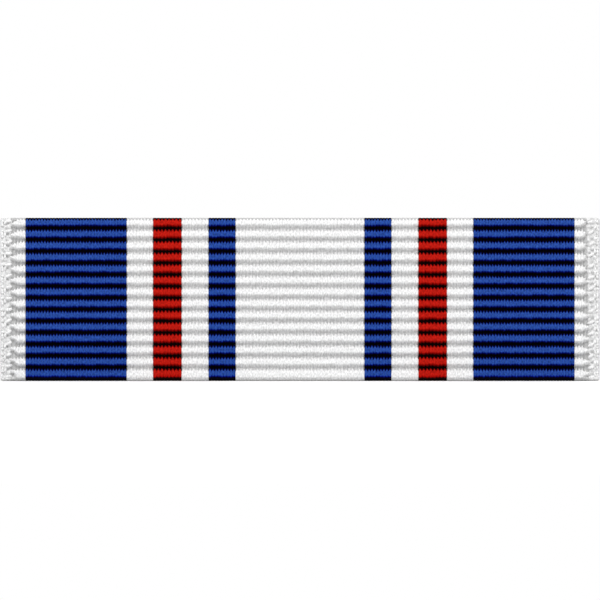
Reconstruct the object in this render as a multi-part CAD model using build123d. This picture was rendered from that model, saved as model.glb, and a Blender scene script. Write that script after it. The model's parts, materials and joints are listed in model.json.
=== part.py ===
from build123d import *
import math
import os

# A single undress service ribbon bar, worn on the chest: a striped woven ribbon wrapped on a
# small plate, which slides onto a mounting bar held by two pins and two butterfly clutches.
#
# Millimetres. +Z is up and +X is to the right of a person who faces the ribbon. The ribbon
# faces -Y and the pins point along +Y, into the cloth. The origin is the centre of the
# mounting bar's rear face, which lies on the cloth.

# Whole bar
bar_width = 34.925  # 1 3/8 in, the standard ribbon width
bar_height = 9.525  # 3/8 in

# Ribbon stripes, from an end of the bar to its middle
selvedge_width = 0.93
edge_white_width = 0.55
wide_blue_width = 5.89
outer_white_width = 1.54
red_width = 1.66
inner_white_width = 1.57
narrow_blue_width = 1.57

# Depths along Y, from the cloth towards the front
play = 0.05  # running gap of every sliding or turning fit
mount_sheet = 0.5
joggle_depth = 0.5
channel_sheet_floor = 0.3
channel_sheet_lip = 0.35
fabric_rear = 0.4
core_sheet = 0.4
fabric_front = 0.45

web_front = -mount_sheet
flange_rear = -joggle_depth
flange_front = flange_rear - mount_sheet
lip_front = flange_rear + play
lip_rear = lip_front + channel_sheet_lip
floor_rear = flange_front - play
floor_front = floor_rear - channel_sheet_floor
core_rear = floor_front - fabric_rear
core_front = core_rear - core_sheet
fabric_face = core_front - fabric_front

# Mounting bar
mount_length = 34.5
mount_height = 7.0
web_half = 2.05  # half height of the flat rear face
joggle_run = 0.45
joggle_bend = 0.25
bend_round = 0.2
mount_corner = 0.8
pin_spacing = 19.05  # 3/4 in

# Friction tongue lanced from the middle of the mounting bar
tongue_half = 0.8
tongue_slot = 0.3
tongue_root_x = -2.8
tongue_crest_x = 1.4
tongue_tip_x = 2.4
tongue_tip_return = 0.25

# Slide channel
channel_length = 34.2
channel_half = mount_height / 2 + play + channel_sheet_lip
channel_bend = 0.35
lip_reach = 1.3  # how far each lip reaches in from the channel's side
lip_corner = 0.5

# Core plate and the ribbon wrapped on it
core_length = 34.6
core_half = bar_height / 2 - fabric_front
core_round = 0.19
fabric_round = 0.55
ribbon_end_gap = 0.6  # between the two ribbon ends, behind the core

# Rivets through channel, ribbon ends and core
rivet_x = 12.0
rivet_z = 1.45
rivet_shank_r = 0.3
rivet_head_r = 0.55
rivet_head_height = 0.25
rivet_head_edge = 0.12  # height of the head's straight side
rivet_head_top_r = 0.28
rivet_flush_r = 0.55
rivet_flush_depth = 0.25
rivet_fit = 0.03

# Pins
pin_r = 0.55
pin_neck_r = 0.75
pin_neck_fit = 0.02
pin_head_r = 1.2
pin_head_height = 0.25
pin_head_bevel = 0.12
pin_plain_end = 2.7  # the plain shank ends here, where the grip groove starts
groove_r = 0.36
groove_slope = 0.2
groove_end = 4.25
pin_cone_start = 6.3
pin_tip = 7.5
pin_tip_r = 0.1

# Butterfly clutches
clutch_face = 2.6  # cloth side of the clutch base, as worn
base_r = 4.6
base_sheet = 0.3
base_hole_r = 0.7
rim_inner_r = 4.3
rim_curl_r = 3.75
rim_height = 0.85
rim_curl_sheet = 0.25
rim_round = 0.35
edge_round = 0.08
nub_circle_r = 3.0
nub_r = 0.4
nub_tip_r = 0.13
nub_height = 0.2
nub_count = 4

housing_r = 2.9
housing_wall = 0.3
housing_height = 2.3
housing_top_sheet = 0.25
housing_hole_r = 0.75
collar_r = 1.25  # raised ring round the pin's hole
collar_height = 0.15
collar_round = 0.06
housing_flange_r = 4.25
housing_flange_sheet = 0.25
housing_round = 0.5
housing_inner_round = 0.2
window_half = 1.0
window_sill = 1.0  # above the base plate
window_head = 2.02

wing_sheet = 0.35
pivot_x = 2.75
pivot_rise = 1.5  # above the base plate
knuckle_r = 0.34
neck_half = 0.9
jaw_rise = 0.75  # middle of the jaw, above the base plate
jaw_gap = 0.24
jaw_notch_r = 0.6
jaw_bend_x = 1.3
wing_bend = 0.4
wing_foot = (0.85, 0.35)  # from the pivot
wing_shoulder = (1.7, 3.05)
wing_tip = (2.4, 3.4)
wing_half = 2.4
wing_flare_start = 0.75
wing_flare_end = 1.7
wing_top_half = 1.7
wing_corner = 1.1
lip_x = 0.62
lip_sheet = 0.3
lip_half = 0.75
lip_height = 0.55

spring_r = 1.35
spring_wire_r = 0.14
spring_rise = 1.22
spring_sweep = 305.0

base_top = clutch_face + base_sheet
pivot_y = base_top + pivot_rise
half_width = bar_width / 2


def write_node(name, shape):
    export_step(shape, "parts/" + name + ".step")


def along_x(face, length):
    """Solid of a (y, z) face, centred on x = 0."""
    return extrude(Plane.YZ * face, length / 2, both=True)


def cylinder_y(radius, y_start, y_end, x=0.0, z=0.0):
    """Round solid along Y."""
    disc = Plane((x, y_start, z), x_dir=(1, 0, 0), z_dir=(0, 1, 0)) * Circle(radius)
    return extrude(disc, y_end - y_start)


def turned(points, rounds=()):
    """Solid turned about Y from an (r, y) outline. Each round is (corner, radius)."""
    outline = make_face(Polyline(*points, close=True))
    for corner, radius in rounds:
        nearest = outline.vertices().sort_by_distance((corner[0], corner[1], 0))[0]
        outline = fillet(nearest, radius)
    return revolve(outline, Axis.Y)


def box_between(low, high):
    """Box from its lowest to its highest corner."""
    size = [high[i] - low[i] for i in range(3)]
    middle = [(high[i] + low[i]) / 2 for i in range(3)]
    return Pos(*middle) * Box(*size)


def stripe_spans():
    """Stripes as (material, x start, x end), from the left end to the right end."""
    half = [
        ("selvedge", selvedge_width),
        ("white", edge_white_width),
        ("blue", wide_blue_width),
        ("white", outer_white_width),
        ("red", red_width),
        ("white", inner_white_width),
        ("blue", narrow_blue_width),
    ]
    spans = []
    start = -half_width
    for material, width in half:
        spans.append((material, start, start + width))
        start += width
    mirrored = [(material, -end, -begin) for material, begin, end in reversed(spans)]
    return spans + [("white", start, -start)] + mirrored


def rivet_places():
    return [(x, z) for x in (-rivet_x, rivet_x) for z in (-rivet_z, rivet_z)]


def fabric_section():
    """The wrapped ribbon in (y, z): round the front and both edges, ends behind the core."""
    depth = floor_front - fabric_face
    middle_y = (floor_front + fabric_face) / 2
    outside = Pos(middle_y, 0) * RectangleRounded(depth, bar_height, fabric_round)
    core_y = (core_front + core_rear) / 2
    inside = Pos(core_y, 0) * RectangleRounded(core_sheet, 2 * core_half, core_round)
    gap_y = (core_rear + floor_front) / 2
    gap = Pos(gap_y, 0) * Rectangle(fabric_rear + core_round, ribbon_end_gap)
    return outside - inside - gap


def ribbon_group(material):
    """All the stripes of one warp colour, as separate solids."""
    section = Plane.YZ * fabric_section()
    solids = []
    for name, start, end in stripe_spans():
        if name != material:
            continue
        stripe = Pos(start, 0, 0) * extrude(section, end - start)
        for x, z in rivet_places():
            if start < x < end:
                stripe -= cylinder_y(rivet_shank_r + rivet_fit, core_rear, floor_front, x, z)
        solids += stripe.solids()
    return Compound(children=solids)


def core_plate():
    core_y = (core_front + core_rear) / 2
    section = Pos(core_y, 0) * RectangleRounded(core_sheet, 2 * core_half, core_round)
    plate = along_x(section, core_length)
    for x, z in rivet_places():
        plate -= cylinder_y(rivet_shank_r + rivet_fit, core_front, core_rear, x, z)
        sink = Plane((x, core_front, z), x_dir=(1, 0, 0), z_dir=(0, 1, 0))
        plate -= sink * Pos(0, 0, rivet_flush_depth / 2) * Cone(
            rivet_flush_r + rivet_fit, rivet_shank_r + rivet_fit, rivet_flush_depth
        )
    return plate


def channel_rivets():
    solids = []
    for x, z in rivet_places():
        rivet = turned(
            [
                (0, core_front),
                (rivet_flush_r, core_front),
                (rivet_shank_r, core_front + rivet_flush_depth),
                (rivet_shank_r, floor_rear),
                (rivet_head_r, floor_rear),
                (rivet_head_r, floor_rear + rivet_head_edge),
                (rivet_head_top_r, floor_rear + rivet_head_height),
                (0, floor_rear + rivet_head_height),
            ]
        )
        solids += (Pos(x, 0, z) * rivet).solids()
    return Compound(children=solids)


def slide_channel():
    """C section open to the rear, whose lips hold the mounting bar's flanges."""
    depth = lip_rear - floor_front
    middle_y = (lip_rear + floor_front) / 2
    outside = Pos(middle_y, 0) * RectangleRounded(depth, 2 * channel_half, channel_bend)
    room_y = (lip_front + floor_rear) / 2
    room = Pos(room_y, 0) * Rectangle(lip_front - floor_rear, mount_height + 2 * play)
    mouth_half = channel_half - lip_reach
    mouth = Pos(lip_rear - channel_sheet_lip / 2, 0) * Rectangle(
        channel_sheet_lip + play, 2 * mouth_half
    )
    channel = along_x(outside - room - mouth, channel_length)
    lip_tips = [
        edge
        for edge in channel.edges().filter_by(Axis.Y)
        if abs(abs(edge.center().Z) - mouth_half) < play and edge.center().Y > lip_front
    ]
    channel = fillet(lip_tips, lip_corner)
    for x, z in rivet_places():
        channel -= cylinder_y(rivet_shank_r + rivet_fit, floor_front, floor_rear, x, z)
    return channel


def mounting_section():
    """The mounting bar in (y, z): a flat web at the cloth and two joggled flanges."""
    upper = [
        (0, web_half),
        (flange_rear, web_half + joggle_run),
        (flange_rear, mount_height / 2),
        (flange_front, mount_height / 2),
        (flange_front, web_half + joggle_run - joggle_bend),
        (web_front, web_half - joggle_bend + play),
    ]
    lower = [(y, -z) for y, z in reversed(upper)]
    section = make_face(Polyline(*upper, *lower, close=True))
    bends = [v for v in section.vertices() if abs(v.Y) < mount_height / 2 - play]
    return fillet(bends, bend_round)


def friction_tongue():
    """Springy tongue that rises from the web towards the channel's floor and turns back."""
    rise = flange_front - web_front
    rear_line = [
        (tongue_root_x - tongue_slot, 0),
        (tongue_root_x, 0),
        (tongue_crest_x, rise),
        (tongue_tip_x, rise + tongue_tip_return),
    ]
    front_line = [(x, y - mount_sheet) for x, y in reversed(rear_line)]
    side = make_face(Polyline(*rear_line, *front_line, close=True))
    return extrude(side, tongue_half, both=True)


def mounting_bar():
    bar = along_x(mounting_section(), mount_length)
    corners = [
        edge
        for edge in bar.edges().filter_by(Axis.Y)
        if abs(abs(edge.center().Z) - mount_height / 2) < play
    ]
    bar = fillet(corners, mount_corner)
    opening = box_between(
        (tongue_root_x, web_front, -tongue_half - tongue_slot),
        (tongue_tip_x + tongue_slot, 0, tongue_half + tongue_slot),
    )
    bar = bar - opening + friction_tongue()
    for x in (-pin_spacing / 2, pin_spacing / 2):
        bar -= cylinder_y(pin_neck_r + pin_neck_fit, web_front, 0, x)
    return bar


def pin():
    """Headed pin: pressed neck, plain shank, grip groove and a conical point."""
    return turned(
        [
            (0, web_front - pin_head_height),
            (pin_head_r - pin_head_bevel, web_front - pin_head_height),
            (pin_head_r, web_front - pin_head_height + pin_head_bevel),
            (pin_head_r, web_front),
            (pin_neck_r, web_front),
            (pin_neck_r, 0),
            (pin_r, 0),
            (pin_r, pin_plain_end),
            (groove_r, pin_plain_end + groove_slope),
            (groove_r, groove_end - groove_slope),
            (pin_r, groove_end),
            (pin_r, pin_cone_start),
            (pin_tip_r, pin_tip),
            (0, pin_tip),
        ]
    )


def clutch_base():
    """Pressed disc whose rolled rim holds the housing's flange."""
    rim_top = clutch_face + rim_height
    disc = turned(
        [
            (base_hole_r, clutch_face),
            (base_r, clutch_face),
            (base_r, rim_top),
            (rim_curl_r, rim_top),
            (rim_curl_r, rim_top - rim_curl_sheet),
            (rim_inner_r, rim_top - rim_curl_sheet),
            (rim_inner_r, base_top),
            (base_hole_r, base_top),
        ],
        [
            ((base_r, clutch_face), rim_round),
            ((base_r, rim_top), rim_round),
            ((rim_curl_r, rim_top), edge_round),
            ((base_hole_r, clutch_face), edge_round),
        ],
    )
    for step in range(nub_count):
        angle = 2 * math.pi * (step + 0.5) / nub_count
        x = nub_circle_r * math.cos(angle)
        z = nub_circle_r * math.sin(angle)
        nub = turned(
            [
                (0, clutch_face - nub_height),
                (nub_tip_r, clutch_face - nub_height),
                (nub_r, clutch_face),
                (0, clutch_face),
            ]
        )
        disc += Pos(x, 0, z) * nub
    return disc


def clutch_housing():
    """Hat over the jaws, with a window on each side for the wings."""
    top = base_top + housing_height
    hat = turned(
        [
            (housing_r - housing_wall, base_top),
            (housing_flange_r, base_top),
            (housing_flange_r, base_top + housing_flange_sheet),
            (housing_r, base_top + housing_flange_sheet),
            (housing_r, top),
            (collar_r, top),
            (collar_r, top + collar_height),
            (housing_hole_r, top + collar_height),
            (housing_hole_r, top - housing_top_sheet),
            (housing_r - housing_wall, top - housing_top_sheet),
        ],
        [
            ((housing_r, top), housing_round),
            ((housing_r - housing_wall, top - housing_top_sheet), housing_inner_round),
            ((housing_r, base_top + housing_flange_sheet), housing_inner_round),
            ((collar_r, top), collar_round),
            ((collar_r, top + collar_height), collar_round),
            ((housing_hole_r, top + collar_height), edge_round),
        ],
    )
    windows = box_between(
        (-housing_r, base_top + window_sill, -window_half),
        (housing_r, base_top + window_head, window_half),
    )
    return hat - windows


def wing_outline():
    """Side view of a wing in (x, y), on the +X side of the pin."""
    jaw_y = base_top + jaw_rise
    path = FilletPolyline(
        (jaw_gap / 2, jaw_y),
        (jaw_bend_x, jaw_y),
        (pivot_x, pivot_y),
        (pivot_x + wing_foot[0], pivot_y + wing_foot[1]),
        (pivot_x + wing_shoulder[0], pivot_y + wing_shoulder[1]),
        (pivot_x + wing_tip[0], pivot_y + wing_tip[1]),
        radius=wing_bend,
    )
    return trace(path, wing_sheet) + Pos(pivot_x, pivot_y) * Circle(knuckle_r)


def wing_width_mask():
    """Front view of a wing in (y, z): a narrow neck that flares to the finger tab."""
    foot = base_top
    upper = [
        (foot, neck_half),
        (pivot_y + wing_flare_start, neck_half),
        (pivot_y + wing_flare_end, wing_half),
        (pivot_y + wing_shoulder[1] - wing_sheet, wing_half),
        (pivot_y + wing_tip[1] + wing_sheet, wing_top_half),
    ]
    lower = [(y, -z) for y, z in reversed(upper)]
    outline = make_face(Polyline(*upper, *lower, close=True))
    corners = [v for v in outline.vertices() if v.X > pivot_y]
    return extrude(Plane.YZ * fillet(corners, wing_corner), pivot_x + 2 * wing_tip[0])


def clutch_wing():
    """One wing with its jaw, on the +X side of the pin."""
    blank = extrude(wing_outline(), wing_half, both=True)
    wing = blank & wing_width_mask()
    jaw_top = base_top + jaw_rise + wing_sheet / 2
    wing += box_between(
        (lip_x, jaw_top - wing_sheet / 2, -lip_half),
        (lip_x + lip_sheet, jaw_top + lip_height, lip_half),
    )
    return wing - cylinder_y(jaw_notch_r, base_top, jaw_top)


def clutch_spring():
    """Open wire ring that presses the two jaw lips towards the pin."""
    wire = Pos(spring_r, base_top + spring_rise) * Circle(spring_wire_r)
    ring = revolve(wire, Axis.Y, spring_sweep)
    gap = 360 - spring_sweep
    return Rot(0, 90 + gap / 2 - 180, 0) * ring


def write_clutch(side, x):
    """The five pieces of one clutch. The inner wing is the one nearer the bar's middle."""
    place = Pos(x, 0, 0)
    facing_right = clutch_wing()
    facing_left = Rot(0, 180, 0) * facing_right
    inner, outer = (facing_right, facing_left) if x < 0 else (facing_left, facing_right)
    write_node(side + "_clutch_base", place * clutch_base())
    write_node(side + "_clutch_housing", place * clutch_housing())
    write_node(side + "_clutch_inner_wing", place * inner)
    write_node(side + "_clutch_outer_wing", place * outer)
    write_node(side + "_clutch_spring", place * clutch_spring())


os.makedirs("parts", exist_ok=True)

write_node("ribbon_white_bands", ribbon_group("white"))
write_node("ribbon_blue_bands", ribbon_group("blue"))
write_node("ribbon_red_bands", ribbon_group("red"))
write_node("ribbon_selvedges", ribbon_group("selvedge"))
write_node("core_plate", core_plate())
write_node("slide_channel", slide_channel())
write_node("channel_rivets", channel_rivets())
write_node("mounting_bar", mounting_bar())
for pin_side, pin_x in (("left", -pin_spacing / 2), ("right", pin_spacing / 2)):
    write_node(pin_side + "_pin", Pos(pin_x, 0, 0) * pin())
    write_clutch(pin_side, pin_x)
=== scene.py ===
import json
import math
import random
from collections import namedtuple

import bmesh
import bpy
import numpy as np
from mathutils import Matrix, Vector, noise


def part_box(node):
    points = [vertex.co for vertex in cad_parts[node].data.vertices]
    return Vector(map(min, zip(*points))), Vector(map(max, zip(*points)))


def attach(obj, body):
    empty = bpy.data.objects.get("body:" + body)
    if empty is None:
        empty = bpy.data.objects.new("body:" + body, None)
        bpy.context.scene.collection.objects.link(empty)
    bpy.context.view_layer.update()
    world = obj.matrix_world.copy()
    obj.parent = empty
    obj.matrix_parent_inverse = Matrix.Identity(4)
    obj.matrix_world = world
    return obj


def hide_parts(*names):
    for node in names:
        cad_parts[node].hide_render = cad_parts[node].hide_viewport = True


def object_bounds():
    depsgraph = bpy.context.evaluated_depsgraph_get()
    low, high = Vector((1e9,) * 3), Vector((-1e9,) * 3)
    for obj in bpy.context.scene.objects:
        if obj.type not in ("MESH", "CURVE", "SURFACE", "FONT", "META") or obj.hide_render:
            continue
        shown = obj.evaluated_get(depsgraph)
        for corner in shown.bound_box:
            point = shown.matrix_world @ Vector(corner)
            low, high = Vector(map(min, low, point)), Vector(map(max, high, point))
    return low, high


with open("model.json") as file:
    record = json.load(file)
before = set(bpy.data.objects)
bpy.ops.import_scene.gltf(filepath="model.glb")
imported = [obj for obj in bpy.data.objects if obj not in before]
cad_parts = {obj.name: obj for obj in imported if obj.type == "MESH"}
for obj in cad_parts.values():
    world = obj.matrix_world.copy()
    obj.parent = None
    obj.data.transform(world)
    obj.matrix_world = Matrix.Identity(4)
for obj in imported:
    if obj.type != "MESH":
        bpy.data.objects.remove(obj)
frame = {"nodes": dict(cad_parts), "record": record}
cad_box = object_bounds()

# The looks of a service ribbon bar, in metres. The ribbon is rebuilt as real cloth: warp threads
# run over stout weft ribs, round the edges of the core plate and in behind the slide channel, and
# each end has a knotted selvedge. The metal keeps its CAD shape and gets its finishes here.

MM = 0.001

# Ribbon layout, from an end of the bar to its middle: (colour, width, warp threads)
HALF_STRIPES = (
    ("selvedge", 0.93 * MM, 5),
    ("white", 0.55 * MM, 3),
    ("blue", 5.89 * MM, 34),
    ("white", 1.54 * MM, 8),
    ("red", 1.66 * MM, 8),
    ("white", 1.57 * MM, 8),
    ("blue", 1.57 * MM, 9),
)
CENTRE_THREADS = 38

# Ribs. A phase runs from 0 at the start of a rib's sharp upper edge to 1 at the next one's.
RIB_COUNT = 14  # on the front
RIB_PITCH = 0.676 * MM
GROOVE_BACK = 0.01 * MM
RIB_DEPTH = 0.24 * MM
ROWS_PER_RIB = 20
HIDDEN_ROWS_PER_RIB = 4
RISE_START = 0.10
RISE = 0.05
FALL_START = 0.57
FALL = 0.38
PAINTED_SHADE_START = 0.54  # from here on the yarn's colour is darkened as painted shade under the rib, sooner than its height falls
PAINTED_SHADE_SPAN = 0.34
FOLD_GROOVE = 0.30 * MM  # how much wider the groove on each fold is
FOLD_LEVEL = 0.99  # and how far out it lies, since it is stretched tight over the fold
TOP_FOLD_LEAD = (0.22 * MM, 0.0)  # from how far before the groove the cloth rises to this level
BOTTOM_FOLD_LEAD = (0.42 * MM, 0.20 * MM)
SCALLOP = 0.19  # how much further up a thread's middle reaches than its sides
LOWER_SCALLOP = 0.06
COLUMNS_PER_THREAD = 4
SELVEDGE_COLUMNS_PER_THREAD = 9
THREAD_DEPTH = 0.012 * MM
MIDDLE_GROOVE_LEAST_PAINTED_LIGHT = 0.22  # least tone of the grooves in the white stripes away from the selvedges, which lightens their painted groove shade; the selvedge stripes keep the full painted shade

# Section of the wrapped cloth
FRONT_ROUND = 0.30 * MM
REAR_ROUND = 0.50 * MM
END_GAP = 0.3 * MM  # half the gap between the cloth's two ends, behind the core
PROUD = 0.008 * MM  # kept between the highest crest and the CAD face

# Selvedges. Between a rib's tip and the end of the bar, the weft turns back in knots, each with
# a float across, a pit below it and two short upright loops beside the pit. Places are distances
# from the end of the bar, or shares of a pitch.
PETAL_ROOT = 1.05 * MM  # here a rib starts to taper to its tip
TIP_HALF = 0.09  # half of a tip's height, in phase
END_ROUND = 0.16 * MM
EDGE_LEVEL = 0.40  # height of the cloth between the tips and the end, and its tone, a painted light level that paints shade on this lower cloth
EDGE_PAINTED_LIGHT_LEVEL = 0.42
EDGE_ROUGH = 0.28  # unevenness there, as a share of the rib's depth
EDGE_GRAIN = 0.16 * MM
KNOT_PITCH = 0.655 * MM
PIT_R = 0.095 * MM
FLOAT_R = 0.085 * MM
FLOAT_HALF = 0.17 * MM
LOOP_R = 0.066 * MM
LOOP_HALF = 0.10 * MM
LOOPS = (0.28 * MM, 0.13 * MM)
KNOT_REACH = 0.65 * MM
TURN_R = 0.080 * MM

Side = namedtuple("Side", "tip_phases tip_reaches knot_start float_place float_lean pits")
SIDES = {
    "left": Side(
        tip_phases=(0.58, 0.18),  # at the top and the bottom of the front
        tip_reaches=(0.59 * MM, 0.53 * MM),
        knot_start=0.125 * MM,  # from the top
        float_place=0.49 * MM,
        float_lean=-0.25,
        pits=((0.44 * MM, 0.33), (0.74 * MM, 0.76)),
    ),
    "right": Side(
        tip_phases=(0.42, 0.46),
        tip_reaches=(0.76 * MM, 0.54 * MM),
        knot_start=0.205 * MM,
        float_place=0.51 * MM,
        float_lean=0.37,
        pits=((0.45 * MM, 0.66), (0.76 * MM, 0.22)),
    ),
}

# ------------------------------------------------------------------ frame measures

ribbon_low, ribbon_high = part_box("ribbon_selvedges")
core_low, core_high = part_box("core_plate")
channel_low, channel_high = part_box("slide_channel")

LEFT = ribbon_low.x
RIGHT = ribbon_high.x
TOP = ribbon_high.z
FRONT = ribbon_low.y
REAR = ribbon_high.y


# ------------------------------------------------------------------ mesh helpers


def new_object(name, vertices, faces, smooth=True):
    mesh = bpy.data.meshes.new(name)
    mesh.from_pydata([tuple(v) for v in vertices], [], faces)
    mesh.validate()
    work = bmesh.new()
    work.from_mesh(mesh)
    bmesh.ops.recalc_face_normals(work, faces=work.faces)
    work.to_mesh(mesh)
    work.free()
    if smooth:
        mesh.shade_smooth()
    obj = bpy.data.objects.new(name, mesh)
    bpy.context.scene.collection.objects.link(obj)
    return obj


def set_painted_light_level(obj, values):
    """Painted light level of each point of the yarn, from 0 for the darkest painted shade in a groove to
    1 on a lit crest. The yarn's colour ramp darkens with it.
    """
    attribute = obj.data.attributes.new("painted_light_level", "FLOAT", "POINT")
    attribute.data.foreach_set("value", np.asarray(values, np.float32).ravel())


def set_cloth_uv(obj, across, along):
    """UV in millimetres of cloth: across the threads and along them."""
    uv = obj.data.uv_layers.new(name="cloth")
    corners = np.zeros(len(obj.data.loops), np.int32)
    obj.data.loops.foreach_get("vertex_index", corners)
    pairs = np.stack([np.ravel(across)[corners], np.ravel(along)[corners]], axis=-1) / MM
    uv.data.foreach_set("uv", pairs.astype(np.float32).ravel())


# ------------------------------------------------------------------ section of the cloth


def straight(start, end, normal, step):
    count = max(2, round((Vector(end) - Vector(start)).length / step))
    spots = []
    for i in range(count):
        y, z = Vector(start).lerp(Vector(end), i / count)
        spots.append((y, z, *normal))
    return spots


def quarter_bend(centre, radius, start_angle, step):
    """Quarter circle from start_angle, which counts from +Z towards -Y."""
    count = max(4, round(radius * math.pi / 2 / step))
    spots = []
    for i in range(count):
        angle = start_angle + math.pi / 2 * i / count
        normal = (-math.sin(angle), math.cos(angle))
        spots.append((centre[0] + radius * normal[0], centre[1] + radius * normal[1], *normal))
    return spots


def cloth_path():
    """The cloth's outside as rows of (y, z, normal y, normal z, d), from the upper end behind the
    core, over the top edge, down the front and round to the lower end. d is the distance along
    the cloth from the middle of its front, and grows downwards."""
    fine = RIB_PITCH / ROWS_PER_RIB
    coarse = RIB_PITCH / HIDDEN_ROWS_PER_RIB
    cover = channel_high.z - END_GAP
    upper = straight((REAR, END_GAP), (REAR, cover), (1, 0), coarse)
    upper += straight((REAR, cover), (REAR, TOP - REAR_ROUND), (1, 0), fine)
    upper += quarter_bend((REAR - REAR_ROUND, TOP - REAR_ROUND), REAR_ROUND, -math.pi / 2, fine)
    upper += straight((REAR - REAR_ROUND, TOP), (FRONT + FRONT_ROUND, TOP), (0, 1), fine)
    upper += quarter_bend((FRONT + FRONT_ROUND, TOP - FRONT_ROUND), FRONT_ROUND, 0, fine)
    upper += straight((FRONT, TOP - FRONT_ROUND), (FRONT, 0), (-1, 0), fine)
    lower = [(y, -z, ny, -nz) for y, z, ny, nz in reversed(upper)]
    spots = np.array(upper + [(FRONT, 0, -1, 0)] + lower)
    steps = np.hypot(np.diff(spots[:, 0]), np.diff(spots[:, 1]))
    distance = np.concatenate([[0], np.cumsum(steps)])
    distance -= distance[len(upper)]
    return np.column_stack([spots, distance])


def inner_path():
    """The cloth's inside, which lies on the core plate, in (y, z) back from the lower end."""
    middle = (core_low.y + core_high.y) / 2
    half = (core_high.y - core_low.y) / 2
    flat = core_high.z - half
    turns = np.linspace(0, math.pi, 7)
    rear = [(core_high.y, -z) for z in np.linspace(END_GAP, flat, 6)[:-1]]
    lower = [(middle + half * math.cos(a), -flat - half * math.sin(a)) for a in turns]
    front = [(core_low.y, z) for z in np.linspace(-flat, flat, 12)[1:-1]]
    upper = [(middle - half * math.cos(a), flat + half * math.sin(a)) for a in turns]
    rear_up = [(core_high.y, z) for z in np.linspace(flat, END_GAP, 6)[1:]]
    return np.array(rear + lower + front + upper + rear_up)


PATH = cloth_path()
INSIDE = inner_path()


def on_cloth(x, d, inset):
    """Points of the cloth at distance d along it and inset below its outside."""
    y, z, ny, nz = [np.interp(d, PATH[:, 4], PATH[:, i]) for i in range(4)]
    return np.stack([x, y - ny * inset, z - nz * inset], axis=-1)


# ------------------------------------------------------------------ ribs


def smooth(low, high, value):
    t = np.clip((value - low) / (high - low), 0, 1)
    return t * t * (3 - 2 * t)


def rib_phase(d):
    """Each point's phase and its rib's number. The grooves on the two folds are wider."""
    above = np.clip(-TOP - d, 0, FOLD_GROOVE)
    below = np.clip(d - (RIB_COUNT * RIB_PITCH - TOP - GROOVE_BACK), 0, FOLD_GROOVE)
    turns = (d + above - below + TOP) / RIB_PITCH - 1e-6 * (above > 0)
    number = np.floor(turns)
    return turns - number, number.astype(int)


def fold_share(bottom_lead=BOTTOM_FOLD_LEAD):
    """Per row, for the top fold and the bottom one: 1 in its groove, and 0 away from it."""
    starts = (-TOP - FOLD_GROOVE, RIB_COUNT * RIB_PITCH - TOP - GROOVE_BACK)
    shares = []
    for start, lead in zip(starts, (TOP_FOLD_LEAD, bottom_lead)):
        d = PATH[:, 4] - start
        after = smooth(-TOP_FOLD_LEAD[0], 0, FOLD_GROOVE - d)
        shares.append(smooth(-lead[0], -lead[1], d) * after)
    return shares


def narrow_share():
    """1 on the bar's narrow top and bottom, where the ribs are pressed as low as the fold."""
    return smooth(0.9, 1.0, np.abs(PATH[:, 3]))


def rib_profile(phase, start, stop):
    """A cord with a sharp upper edge, a flat crest and a long lower side. Gives its height, which is 1 on
    the crest, and its tone, a painted light level that falls to 0 sooner on the lower side, so that the
    lower side and the groove get painted shade."""
    rise = smooth(0, RISE, phase - start)
    height = rise * (1 - smooth(0, FALL, phase - stop))
    tone = rise * (1 - smooth(0, PAINTED_SHADE_SPAN, phase - stop - PAINTED_SHADE_START + FALL_START))
    return height, tone


def pressed_share():
    """1 where the cloth is pressed flat under the slide channel, 0 where it is free."""
    reach = np.abs(PATH[:, 1]) - channel_high.z
    return (1 - smooth(-0.1 * MM, 0.1 * MM, reach)) * (PATH[:, 0] > REAR - 0.01 * MM)


def thread_shape(threads, fineness):
    """Per column of a stripe: its place in threads, its round crown and its pointed peak, which
    are both 1 on a thread's middle."""
    across = np.arange(threads * fineness + 1) / fineness
    crown = np.abs(np.sin(np.pi * across)) ** 0.6
    peak = 1 - np.abs(2 * (across % 1) - 1)
    return across, crown, peak


def thread_jitter(name, threads, fineness, reach):
    """Small seeded unevenness of every thread at every rib, spread to rows and columns."""
    local = random.Random(name)
    number = rib_phase(PATH[:, 4])[1]
    ribs = number - number.min()
    rib_total = ribs.max() + 1
    shifts = [[local.uniform(-reach, reach) for _ in range(rib_total)] for _ in range(threads)]
    thread = np.minimum(np.arange(threads * fineness + 1) // fineness, threads - 1)
    return np.array(shifts)[thread][:, ribs].T


def woven_profile(name, threads):
    """Height and tone of every grid point of a plain stripe. The tone is a painted light level, with
    painted shade on the ribs' lower sides and in the grooves.
    """
    fineness = COLUMNS_PER_THREAD
    peak = thread_shape(threads, fineness)[2][None, :]
    phase = rib_phase(PATH[:, 4])[0][:, None]
    start = RISE_START - SCALLOP * (peak - 0.5)
    start = start + thread_jitter(name + "start", threads, fineness, 0.02)
    stop = FALL_START + LOWER_SCALLOP * (peak - 0.5)
    stop = stop + thread_jitter(name + "stop", threads, fineness, 0.03)
    return rib_profile(phase, start, stop)


# ------------------------------------------------------------------ selvedge


def edge_unevenness(side, from_end):
    """Seeded lumps of the tangled yarn between the tips and the end of the ribbon."""
    seed = 10 if side == "left" else 20
    rows = [
        [noise.noise(Vector((x / EDGE_GRAIN, d / EDGE_GRAIN, seed))) for x in from_end]
        for d in PATH[:, 4]
    ]
    return EDGE_ROUGH * np.array(rows)


def pit_share(side, from_end):
    """1 in the middle of every pit beside the knots, falling to 0 around it."""
    spec = SIDES[side]
    share = 0
    for place, phase in spec.pits:
        turns = (PATH[:, 4] + TOP - spec.knot_start) / KNOT_PITCH - phase
        along = (turns - np.round(turns)) * KNOT_PITCH
        away = np.hypot(along[:, None], from_end[None, :] - place)
        share = share + np.exp(-((away / PIT_R) ** 2))
    return np.clip(share, 0, 1)


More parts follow.
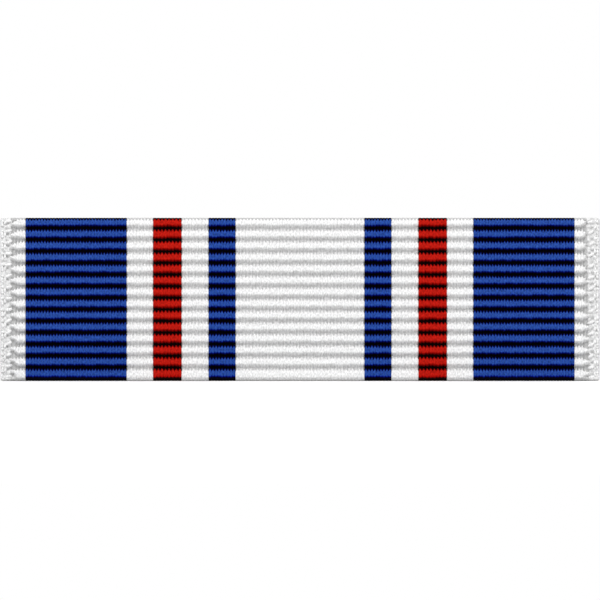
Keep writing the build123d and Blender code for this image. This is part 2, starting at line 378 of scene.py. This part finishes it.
def petal_profile(name, side, threads, fineness, from_end):
    """Height and tone of a selvedge stripe, whose ribs taper to leaning tips before the end. The tone is
    a painted light level: painted shade on the ribs' lower sides, on the low cloth at the end and in the
    pits.
    """
    spec = SIDES[side]
    peak = thread_shape(threads, fineness)[2][None, :]
    phase = rib_phase(PATH[:, 4])[0][:, None]
    share = np.clip(0.5 + PATH[:, 4] / (2 * TOP), 0, 1)[:, None]
    tip_phase = spec.tip_phases[0] + (spec.tip_phases[1] - spec.tip_phases[0]) * share
    tip_reach = spec.tip_reaches[0] + (spec.tip_reaches[1] - spec.tip_reaches[0]) * share
    taper = np.clip((PETAL_ROOT - from_end[None, :]) / (PETAL_ROOT - tip_reach), 0, 1) + 0 * phase
    wander = thread_jitter(name + "tip", threads, fineness, 0.03) * (1 - taper)
    start = RISE_START - SCALLOP * (peak - 0.5) * (1 - taper)
    start = start + (tip_phase - TIP_HALF - RISE_START) * taper + wander
    stop = FALL_START + (tip_phase - TIP_HALF - FALL_START) * taper + wander
    height, tone = rib_profile(phase, start, stop)
    lumps = edge_unevenness(side, from_end)
    fade = smooth(0.80, 1.0, taper + 0.5 * lumps * (taper > 0.5))
    # The lumps change the tone along with the height: painted shade on the lower lumps.
    height = height * (1 - fade) + (EDGE_LEVEL + lumps) * fade
    tone = tone * (1 - fade) + (EDGE_PAINTED_LIGHT_LEVEL + lumps) * fade
    # The pits are sunk into the cloth and their tone is taken down too: painted shade in the pits.
    open_cloth = 1 - pit_share(side, from_end)
    return np.clip(height * open_cloth, 0, 1), np.clip(tone * open_cloth, 0, 1)


# ------------------------------------------------------------------ stripe mesh


def stripe_mesh(name, start, end, threads, side=None):
    """One stripe of the ribbon as a closed mesh. The stripes at an end of the bar name its side:
    their ribs taper, and the end itself is round."""
    fineness = SELVEDGE_COLUMNS_PER_THREAD if side else COLUMNS_PER_THREAD
    across, crown, _ = thread_shape(threads, fineness)
    x = start + (end - start) * across / threads
    if side:
        from_end = RIGHT - np.abs(x)
        height, tone = petal_profile(name, side, threads, fineness, from_end)
        tangled = smooth(PETAL_ROOT, KNOT_REACH, from_end)[None, :]
        roll = np.clip(1 - from_end / END_ROUND, 0, 1)
        round_in = END_ROUND * (1 - np.sqrt(1 - np.minimum(roll, 0.999) ** 2))
    else:
        height, tone = woven_profile(name, threads)
        round_in = np.zeros(len(x))
        tangled = 0
        # The middle white stripes' painted groove shade is lightened, except in the top fold's groove,
        # which keeps its full painted shade as a dark line.
        if name.startswith("ribbon_white"):
            least_painted_light = MIDDLE_GROOVE_LEAST_PAINTED_LIGHT * (1 - fold_share()[0][:, None])
            tone = least_painted_light + (1 - least_painted_light) * tone
    plain_fold = sum(fold_share())[:, None]
    knotted_fold = sum(fold_share(TOP_FOLD_LEAD))[:, None]
    fold = plain_fold * (1 - tangled) + knotted_fold * tangled
    height = np.maximum(height, FOLD_LEVEL * fold)
    height = height * (1 - (1 - FOLD_LEVEL) * narrow_share()[:, None])
    pressed = pressed_share()[:, None]
    height = height * (1 - pressed) + 0.5 * pressed
    crease = (1 - crown[None, :]) * THREAD_DEPTH * (1 + 3 * (1 - height))
    inset = RIB_DEPTH * (1 - height) + crease + round_in[None, :] + PROUD
    d = PATH[:, 4]
    columns = np.broadcast_to(x, inset.shape)
    outer = on_cloth(columns, np.broadcast_to(d[:, None], inset.shape), inset)
    inner = np.zeros((len(INSIDE), len(x), 3))
    inner[:, :, 0] = x[None, :]
    inner[:, :, 1:] = INSIDE[:, None, :]
    grid = np.concatenate([outer, inner])
    rows, width = grid.shape[:2]
    index = np.arange(rows * width).reshape(rows, width)
    below = np.roll(index, -1, axis=0)
    quads = np.stack([index[:, :-1], below[:, :-1], below[:, 1:], index[:, 1:]], axis=-1)
    faces = quads.reshape(-1, 4).tolist()
    faces.append(index[::-1, 0].tolist())
    faces.append(index[:, -1].tolist())
    obj = new_object(name, grid.reshape(-1, 3), faces)
    # Painted shade: the creases between threads are darkened a little as well as sunk.
    shown = tone * (0.9 + 0.1 * crown[None, :])
    # The yarn's painted light level: its tone, with painted shade on the ribs' lower sides and in the
    # grooves. The hidden inside gets a middle level.
    set_painted_light_level(obj, np.concatenate([shown, np.full(inner.shape[:2], 0.5)]))
    along = np.concatenate([d, np.full(len(INSIDE), d[-1])])
    set_cloth_uv(obj, np.tile(x, rows), np.repeat(along, width))
    return obj


# ------------------------------------------------------------------ selvedge knots


def tube(points, radii, sides=12):
    """Closed strand of soft yarn along points, as (vertices, faces)."""
    points = [Vector(p) for p in points]
    rings = []
    normal = Vector((0.3, 0.5, 0.81))
    last = len(points) - 1
    for i, point in enumerate(points):
        tangent = (points[min(i + 1, last)] - points[max(i - 1, 0)]).normalized()
        normal = (normal - tangent * normal.dot(tangent)).normalized()
        side = tangent.cross(normal)
        turns = [2 * math.pi * k / sides for k in range(sides)]
        ring = [(normal * math.cos(a) + side * math.sin(a)) * radii[i] for a in turns]
        rings.append([point + spoke for spoke in ring])
    vertices = [v for ring in rings for v in ring]
    faces = []
    for i in range(last):
        for k in range(sides):
            a = i * sides + k
            b = i * sides + (k + 1) % sides
            faces.append((a, b, b + sides, a + sides))
    faces.append(tuple(reversed(range(sides))))
    faces.append(tuple(range(last * sides, (last + 1) * sides)))
    return vertices, faces


def float_points(place, d, lean, half_length, sink, lift):
    """A short float of yarn that comes up out of the cloth and dives back in."""
    spots = []
    for i in range(11):
        turn = (-1 + i / 5) * math.pi / 2
        offset = half_length * math.sin(turn)
        inset = sink - lift * math.cos(turn)
        spots.append((place + offset * math.cos(lean), d + offset * math.sin(lean), inset))
    return spots


def turn_points(d, drift):
    """Yarn that turns round the end of the cloth, from its outside to its inside."""
    spots = []
    for i in range(9):
        angle = math.pi * i / 8
        place = 0.215 * MM - 0.11 * MM * math.sin(angle)
        inset = 0.26 * MM - 0.15 * MM * math.cos(angle)
        spots.append((place, d + drift * i / 8, inset))
    return spots


def strand_radii(count, radius):
    """Full in the middle and slimmer at both ends."""
    return [radius * (0.6 + 0.4 * math.sin(math.pi * (i + 0.5) / count)) for i in range(count)]


def knot_strands(side, d, local):
    """One knot at distance d along the cloth: a float, two upright loops and two edge turns."""
    spec = SIDES[side]
    place = spec.float_place + local.uniform(-0.02, 0.02) * MM
    lean = spec.float_lean + local.uniform(-0.25, 0.25)
    half = FLOAT_HALF * local.uniform(0.75, 1.1)
    yield float_points(place, d, lean, half, 0.26 * MM, 0.15 * MM), FLOAT_R
    beside = d + spec.pits[0][1] * KNOT_PITCH
    for loop in LOOPS:
        place = loop + local.uniform(-0.02, 0.02) * MM
        lean = math.pi / 2 + local.uniform(-0.35, 0.35)
        middle = beside + local.uniform(-0.05, 0.05) * MM
        yield float_points(place, middle, lean, LOOP_HALF, 0.28 * MM, 0.16 * MM), LOOP_R
    for share in (0.0, 0.5):
        drift = local.uniform(-0.06, 0.06) * MM
        yield turn_points(d + share * KNOT_PITCH, drift), TURN_R


def build_knots(side):
    """All the knots of one selvedge, as one piece."""
    sign = -1 if side == "left" else 1
    local = random.Random("knots " + side)
    start = SIDES[side].knot_start - TOP
    wrap = TOP + (REAR - FRONT) + 0.45 * MM
    first = math.ceil((-wrap - start) / KNOT_PITCH)
    last = math.floor((wrap - start) / KNOT_PITCH)
    vertices = []
    faces = []
    for number in range(first, last + 1):
        for spots, radius in knot_strands(side, start + number * KNOT_PITCH, local):
            points = [on_cloth(sign * (RIGHT - place), d, inset) for place, d, inset in spots]
            new_vertices, new_faces = tube(points, strand_radii(len(points), radius))
            base = len(vertices)
            vertices.extend(new_vertices)
            faces.extend(tuple(base + i for i in face) for face in new_faces)
    obj = new_object(f"selvedge_knots_{side}", vertices, faces)
    set_painted_light_level(obj, np.full(len(obj.data.vertices), 1.0))
    places = [v.co for v in obj.data.vertices]
    set_cloth_uv(obj, [co.x for co in places], [co.z for co in places])
    return obj


# ------------------------------------------------------------------ materials


def node_tree(name):
    material = bpy.data.materials.new(name)
    material.use_nodes = True
    material.node_tree.nodes.clear()
    return material, material.node_tree


def add_node(tree, kind, inputs, **settings):
    """A shader node. Each input takes a value, or an output to link from."""
    node = tree.nodes.new("ShaderNode" + kind)
    for key, value in settings.items():
        setattr(node, key, value)
    for key, value in inputs.items():
        if isinstance(value, bpy.types.NodeSocket):
            tree.links.new(value, node.inputs[key])
        else:
            node.inputs[key].default_value = value
    return node


def add_remap(tree, value, span, to=(0.0, 1.0)):
    """value, where span's two ends become the ends of to. It stays between them."""
    inputs = {
        "Value": value,
        "From Min": span[0],
        "From Max": span[1],
        "To Min": to[0],
        "To Max": to[1],
    }
    return add_node(tree, "MapRange", inputs).outputs["Result"]


def add_math(tree, operation, first, second):
    node = add_node(tree, "Math", {0: first, 1: second}, operation=operation)
    return node.outputs["Value"]


def add_noise(tree, place, scale, detail, stretch=(1, 1, 1), turn=(0, 0, 0)):
    mapping = add_node(tree, "Mapping", {"Vector": place, "Scale": stretch, "Rotation": turn})
    inputs = {"Vector": mapping.outputs["Vector"], "Scale": scale, "Detail": detail}
    return add_node(tree, "TexNoise", inputs).outputs["Fac"]


def add_surface(tree, inputs):
    shader = add_node(tree, "BsdfPrincipled", inputs)
    add_node(tree, "OutputMaterial", {"Surface": shader.outputs["BSDF"]})


def yarn_material(name, stops, unevenness):
    """Dyed yarn whose colour is darkened from crest to groove as painted shade, with fibre grain on top.
    stops are (painted light level, linear colour).
    """
    material, tree = node_tree(name)
    painted_light_level = add_node(tree, "Attribute", {}, attribute_name="painted_light_level")
    ramp = add_node(tree, "ValToRGB", {"Fac": painted_light_level.outputs["Fac"]})
    elements = ramp.color_ramp.elements
    while len(elements) < len(stops):
        elements.new(0.5)
    for element, (position, colour) in zip(elements, stops):
        element.position = position
        element.color = (*colour, 1)
    cloth = add_node(tree, "UVMap", {}, uv_map="cloth").outputs["UV"]
    fibre = add_noise(tree, cloth, 1.0, 3, stretch=(14, 7, 1))
    shade = add_remap(tree, fibre, (0.3, 0.7), (1 - unevenness, 1 + 0.7 * unevenness))
    yarn_colour_with_painted_shade = add_node(
        tree, "VectorMath", {0: ramp.outputs["Color"], "Scale": shade}, operation="SCALE"
    )
    bump = add_node(tree, "Bump", {"Strength": 0.25, "Distance": 0.01 * MM, "Height": fibre})
    add_surface(tree, {
        "Base Color": yarn_colour_with_painted_shade.outputs["Vector"],
        "Roughness": 0.85,
        "Specular IOR Level": 0.03,
        "Normal": bump.outputs["Normal"],
    })
    return material


def add_vector_math(tree, operation, first, second=(0, 0, 0)):
    return add_node(tree, "VectorMath", {0: first, 1: second}, operation=operation)


def from_pin_axis(tree, place):
    """The vector to place from the nearest pin's axis."""
    split = add_node(tree, "SeparateXYZ", {"Vector": place})
    side = add_node(tree, "Math", {0: split.outputs["X"]}, operation="SIGN").outputs["Value"]
    x = add_math(tree, "SUBTRACT", split.outputs["X"], add_math(tree, "MULTIPLY", side, PIN_X))
    return add_node(tree, "CombineXYZ", {"X": x, "Z": split.outputs["Z"]}).outputs["Vector"]


def turned_place(tree, place):
    """Coordinates whose x is the distance from the nearest pin's axis, for turned parts."""
    radius = add_vector_math(tree, "LENGTH", from_pin_axis(tree, place)).outputs["Value"]
    height = add_node(tree, "SeparateXYZ", {"Vector": place}).outputs["Y"]
    return add_node(tree, "CombineXYZ", {"X": radius, "Y": height}).outputs["Vector"]


def turned_normal(tree, place, normal):
    """The normal of a part turned about a pin's axis, which is round between the mesh's facets."""
    radial = add_vector_math(tree, "NORMALIZE", from_pin_axis(tree, place)).outputs["Vector"]
    outward = add_vector_math(tree, "DOT_PRODUCT", radial, normal).outputs["Value"]
    flat = add_node(tree, "VectorMath", {0: radial, "Scale": outward}, operation="SCALE")
    slope = add_node(tree, "SeparateXYZ", {"Vector": normal}).outputs["Y"]
    slope = add_node(tree, "CombineXYZ", {"Y": slope}).outputs["Vector"]
    both = add_vector_math(tree, "ADD", flat.outputs["Vector"], slope).outputs["Vector"]
    return add_vector_math(tree, "NORMALIZE", both).outputs["Vector"]


EDGE_WEAR = (0.995, 0.90)
PIN_WEAR = (0.93, 0.75)


def metal_material(name, clean, tarnish, roughness, stretch, turned=False, wear=EDGE_WEAR):
    """Handled metal: brush lines, fine scratches, dull patches, stain in the corners and
    brighter worn edges. stretch draws the brush lines out along an axis, and wear says how far
    the surface has to turn within an edge's width, as cosines, to count as an edge."""
    material, tree = node_tree(name)
    place = add_node(tree, "TexCoord", {}).outputs["Object"]
    grain_place = turned_place(tree, place) if turned else place
    brush = add_noise(tree, grain_place, 9000, 4, stretch)
    patches = add_noise(tree, place, 430, 5)
    specks = add_noise(tree, place, 3600, 5)
    scratches = 0
    for turn in SCRATCH_TURNS:
        lines = add_noise(tree, place, 7000, 2, (0.04, 1, 0.6), turn)
        scratches = add_math(tree, "MAXIMUM", add_remap(tree, lines, (0.66, 0.72)), scratches)

    open_air = add_node(tree, "AmbientOcclusion", {"Distance": CORNER_REACH}, samples=8)
    corner = add_remap(tree, open_air.outputs["AO"], (0.80, 0.30))
    rounded = add_node(tree, "Bevel", {"Radius": EDGE_WEAR_R}, samples=6).outputs["Normal"]
    normal = add_node(tree, "NewGeometry", {}).outputs["Normal"]
    bend = add_vector_math(tree, "DOT_PRODUCT", rounded, normal).outputs["Value"]
    edge = add_remap(tree, bend, wear)
    if wear is PIN_WEAR:
        rounded = turned_normal(tree, place, normal)
    worn = add_math(tree, "MULTIPLY", edge, add_remap(tree, specks, (0.35, 0.6), (0.3, 1)))

    stain = add_math(tree, "MULTIPLY", corner, add_remap(tree, specks, (0.3, 0.7), (0.6, 1)))
    cloudy = add_remap(tree, patches, (0.40, 0.72), (0.0, 0.42))
    dull = add_math(tree, "SUBTRACT", add_math(tree, "MAXIMUM", stain, cloudy), worn)
    dull = add_remap(tree, dull, (0, 1))
    base = add_node(
        tree, "Mix", {"Factor": dull, "A": (*clean, 1), "B": (*tarnish, 1)}, data_type="RGBA"
    )
    bright = tuple(min(1, 0.45 + 0.6 * part) for part in clean)
    colour = add_node(
        tree,
        "Mix",
        {"Factor": add_math(tree, "MULTIPLY", worn, 0.6), "A": base.outputs["Result"], "B": (*bright, 1)},
        data_type="RGBA",
    )
    rough = add_remap(tree, brush, (0.3, 0.7), (0.75 * roughness, 1.3 * roughness))
    rough = add_math(tree, "ADD", rough, add_math(tree, "MULTIPLY", dull, 0.16))
    rough = add_math(tree, "ADD", rough, add_math(tree, "MULTIPLY", scratches, 0.15))
    relief = add_math(tree, "SUBTRACT", brush, scratches)
    bump = add_node(
        tree,
        "Bump",
        {"Strength": 0.16, "Distance": 0.003 * MM, "Height": relief, "Normal": rounded},
    )
    add_surface(tree, {
        "Base Color": colour.outputs["Result"],
        "Metallic": 1.0,
        "Roughness": rough,
        "Normal": bump.outputs["Normal"],
    })
    return material


# Yarn colours from painted light level 0 to 1: the lower stops are painted shade of the grooves and the
# ribs' lower sides, and the top stop is the lit crest.
WHITE_STOPS = (
    (0.0, (0.52, 0.52, 0.52)),
    (0.22, (0.68, 0.68, 0.68)),
    (0.6, (0.79, 0.79, 0.79)),
    (1.0, (0.86, 0.86, 0.86)),
)
BLUE_STOPS = (
    (0.10, (0.0015, 0.001, 0.004)),
    (0.30, (0.001, 0.001, 0.03)),
    (0.55, (0.001, 0.002, 0.13)),
    (0.76, (0.003, 0.018, 0.27)),
    (0.88, (0.013, 0.052, 0.33)),
    (1.0, (0.023, 0.071, 0.31)),
)
RED_STOPS = (
    (0.04, (0.006, 0.001, 0.001)),
    (0.14, (0.06, 0.001, 0.001)),
    (0.40, (0.22, 0.001, 0.001)),
    (0.72, (0.42, 0.003, 0.001)),
    (0.95, (0.46, 0.010, 0.005)),
)

WHITE = yarn_material("white_yarn", WHITE_STOPS, 0.24)
BLUE = yarn_material("blue_yarn", BLUE_STOPS, 0.50)
RED = yarn_material("red_yarn", RED_STOPS, 0.40)
YARN = {"white": WHITE, "blue": BLUE, "red": RED, "selvedge": WHITE}
NODE = {
    "white": "ribbon_white_bands",
    "blue": "ribbon_blue_bands",
    "red": "ribbon_red_bands",
    "selvedge": "ribbon_selvedges",
}

PIN_X = sum(corner.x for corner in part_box("right_pin")) / 2
SCRATCH_TURNS = ((0, 0.5, 0.2), (0, -0.9, -0.3), (0.4, 1.9, 0))
CORNER_REACH = 0.7 * MM
EDGE_WEAR_R = 0.05 * MM
ALONG_X = (0.03, 1, 1)
RINGS = (1, 0.6, 1)
EVEN = (1, 1, 1)

BRASS_TONES = ((0.84, 0.60, 0.26), (0.42, 0.24, 0.09))
CLUTCH_TONES = ((0.90, 0.66, 0.29), (0.50, 0.29, 0.10))
NICKEL_TONES = ((0.74, 0.72, 0.68), (0.36, 0.33, 0.29))
STEEL_TONES = ((0.55, 0.55, 0.56), (0.22, 0.21, 0.21))

FINISH = {
    "brass": metal_material("brass", *BRASS_TONES, 0.30, ALONG_X),
    "clutch_brass": metal_material("clutch_brass", *CLUTCH_TONES, 0.20, RINGS, turned=True),
    "nickel_plate": metal_material("nickel_plate", *NICKEL_TONES, 0.26, ALONG_X),
    "spring_wire": metal_material("spring_wire", *STEEL_TONES, 0.26, EVEN),
}
WING_BRASS = metal_material("wing_brass", *CLUTCH_TONES, 0.22, (1, 0.04, 1))
PIN_NICKEL = metal_material("pin_nickel", *NICKEL_TONES, 0.20, RINGS, turned=True, wear=PIN_WEAR)


# ------------------------------------------------------------------ the ribbon


def stripes():
    """(colour, start, end, threads) from the left end to the right end."""
    spans = []
    start = LEFT
    for colour, width, threads in HALF_STRIPES:
        spans.append((colour, start, start + width, threads))
        start += width
    mirrored = [(colour, -end, -begin, threads) for colour, begin, end, threads in reversed(spans)]
    return spans + [("white", start, -start, CENTRE_THREADS)] + mirrored


def dress_yarn(obj, colour):
    obj.data.materials.append(YARN[colour])
    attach(obj, "ribbon_unit")
    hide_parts(NODE[colour])


def build_ribbon():
    counts = {}
    for colour, start, end, threads in stripes():
        counts[colour] = counts.get(colour, 0) + 1
        name = f"ribbon_{colour}_{counts[colour]}"
        side = None
        if min(RIGHT - abs(start), RIGHT - abs(end)) < PETAL_ROOT:
            side = "left" if start < 0 else "right"
        dress_yarn(stripe_mesh(name, start, end, threads, side), colour)
    for side in ("left", "right"):
        dress_yarn(build_knots(side), "selvedge")


def dress_metal():
    for part in frame["record"]["subparts"]:
        slot = part["material_slot"]
        if slot not in FINISH:
            continue
        node = part["node"]
        finish = FINISH[slot]
        if node.endswith("_wing"):
            finish = WING_BRASS
        if node.endswith("_pin"):
            finish = PIN_NICKEL
        obj = frame["nodes"][node]
        obj.data.materials.clear()
        obj.data.materials.append(finish)


# ------------------------------------------------------------------ studio


ROOM_DIM = 0.40
ROOM_BRIGHT = 0.70
ROOM_FACING = Vector((0, -0.93, 0.36)).normalized()
FLOOR_BOUNCE = 0.8
FLOOR_WHITE = 0.93
FLOOR_LIFT = 0.15
FLOOR_REACH = 1.5
FLOOR_FADE = (0.07, 0.22)  # distances from the object between which the floor turns white


def area_light(name, location, size, power):
    """A soft light that looks at the origin."""
    light = bpy.data.lights.new(name, "AREA")
    light.shape = "RECTANGLE"
    light.size, light.size_y = size
    light.energy = power
    obj = bpy.data.objects.new(name, light)
    obj.location = location
    obj.rotation_euler = (-Vector(location)).to_track_quat("-Z", "Y").to_euler()
    obj.visible_camera = False
    bpy.context.scene.collection.objects.link(obj)


def build_world():
    """White to the camera. To everything else it is a soft room, brightest above the front."""
    world = bpy.data.worlds.new("studio")
    bpy.context.scene.world = world
    world.use_nodes = True
    tree = world.node_tree
    place = add_node(tree, "TexCoord", {}).outputs["Generated"]
    facing = add_node(tree, "VectorMath", {0: place, 1: ROOM_FACING}, operation="DOT_PRODUCT")
    room = add_node(
        tree,
        "MapRange",
        {
            "Value": facing.outputs["Value"],
            "From Min": -0.6,
            "From Max": 0.9,
            "To Min": ROOM_DIM,
            "To Max": ROOM_BRIGHT,
        },
        interpolation_type="SMOOTHSTEP",
    )
    seen = add_node(tree, "LightPath", {}).outputs["Is Camera Ray"]
    level = add_node(
        tree, "Mix", {"Factor": seen, "A": room.outputs["Result"], "B": 1.0}, data_type="FLOAT"
    )
    background = tree.nodes["Background"]
    background.inputs["Color"].default_value = (1, 1, 1, 1)
    tree.links.new(level.outputs["Result"], background.inputs["Strength"])


def build_floor():
    """A pale floor that turns as white as the room before it ends, so that no horizon shows."""
    z = cad_box[0].z
    ends = (-FLOOR_REACH, FLOOR_REACH)
    corners = [(ends[i], ends[j], z) for i, j in ((0, 0), (1, 0), (1, 1), (0, 1))]
    floor = new_object("floor", corners, [(0, 1, 2, 3)], smooth=False)
    material, tree = node_tree("pale_floor")
    seen = add_node(tree, "LightPath", {}).outputs["Is Camera Ray"]
    tone = add_remap(tree, seen, (0, 1), (FLOOR_BOUNCE, FLOOR_WHITE))
    paint = add_node(tree, "BsdfDiffuse", {"Color": tone})
    glow = add_node(tree, "Emission", {"Strength": add_math(tree, "MULTIPLY", seen, FLOOR_LIFT)})
    near = add_node(tree, "AddShader", {0: paint.outputs["BSDF"], 1: glow.outputs["Emission"]})
    far = add_node(tree, "Emission", {"Strength": 1.0})
    place = add_node(tree, "TexCoord", {}).outputs["Object"]
    away = add_node(tree, "VectorMath", {0: place}, operation="LENGTH").outputs["Value"]
    white = add_math(tree, "MULTIPLY", seen, add_remap(tree, away, FLOOR_FADE))
    inputs = {"Fac": white, 1: near.outputs["Shader"], 2: far.outputs["Emission"]}
    shader = add_node(tree, "MixShader", inputs)
    add_node(tree, "OutputMaterial", {"Surface": shader.outputs["Shader"]})
    floor.data.materials.append(material)


def build_studio():
    build_world()
    build_floor()
    area_light("key", (-0.05, -0.40, 0.42), (0.20, 0.20), 1.9)
    area_light("back_fill", (0.20, 0.36, 0.30), (0.20, 0.15), 1.0)


CAMERA_DROP = -0.04 * MM


def build_camera():
    """Dead straight on, level, so that the ribbon's front fills the frame's width."""
    camera = bpy.data.cameras.new("camera")
    camera.lens = 400
    camera.sensor_width = 36
    distance = camera.lens / camera.sensor_width * (RIGHT - LEFT)
    obj = bpy.data.objects.new("camera", camera)
    obj.location = (0, FRONT - distance, CAMERA_DROP)
    obj.rotation_euler = (math.pi / 2, 0, 0)
    camera.clip_start = 0.01
    camera.clip_end = 10
    bpy.context.scene.collection.objects.link(obj)
    bpy.context.scene.camera = obj


build_ribbon()
dress_metal()
build_studio()
build_camera()
bpy.context.scene.view_settings.view_transform = "Standard"
